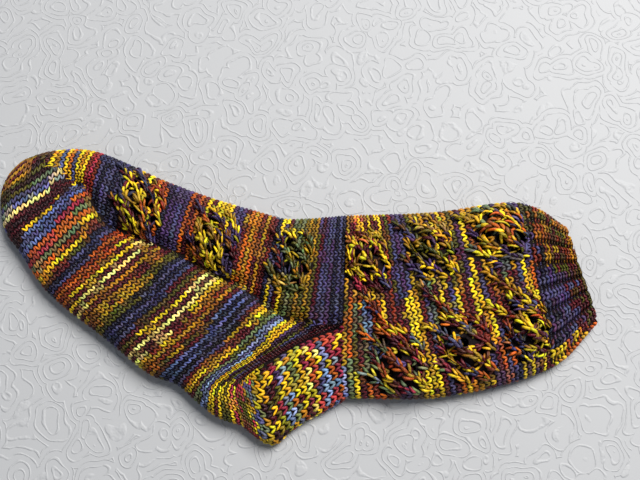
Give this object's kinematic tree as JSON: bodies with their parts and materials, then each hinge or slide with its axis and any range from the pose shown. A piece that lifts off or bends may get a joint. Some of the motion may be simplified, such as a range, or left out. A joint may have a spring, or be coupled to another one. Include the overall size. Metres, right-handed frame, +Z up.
{
  "type": "hand-knitted lace sock lying flat",
  "caption": "Wool sock with ribbed cuff, lace eyelets on leg and instep, flap heel and gussets, lying on its side as an empty tube.",
  "frame": {"origin": "on the surface the sock lies on, under the middle of its box", "axes": "+X towards the cuff along the longest side, +Y towards the front of the leg and the instep, +Z up out of the surface"},
  "size_m": [0.3483, 0.1816, 0.0208],
  "materials": {
    "cuff_wool": "k2 p2 rib in slate, purple and rust hand-dyed wool, matt",
    "leg_wool": "stockinette with lace motifs, mustard, maroon and slate hand-dyed wool, matt",
    "heel_wool": "slip-stitch heel, yellow, crimson and pale blue flecks, matt wool",
    "foot_wool": "stockinette with an instep lace panel, striped hand-dyed wool, matt",
    "toe_wool": "decreasing stockinette, mustard and burgundy stripes, matt wool"
  },
  "bodies": {
    "root": {"cuff": "cuff_wool", "leg": "leg_wool", "heel": "heel_wool", "foot": "foot_wool", "toe": "toe_wool"}
  },
  "joints": []
}
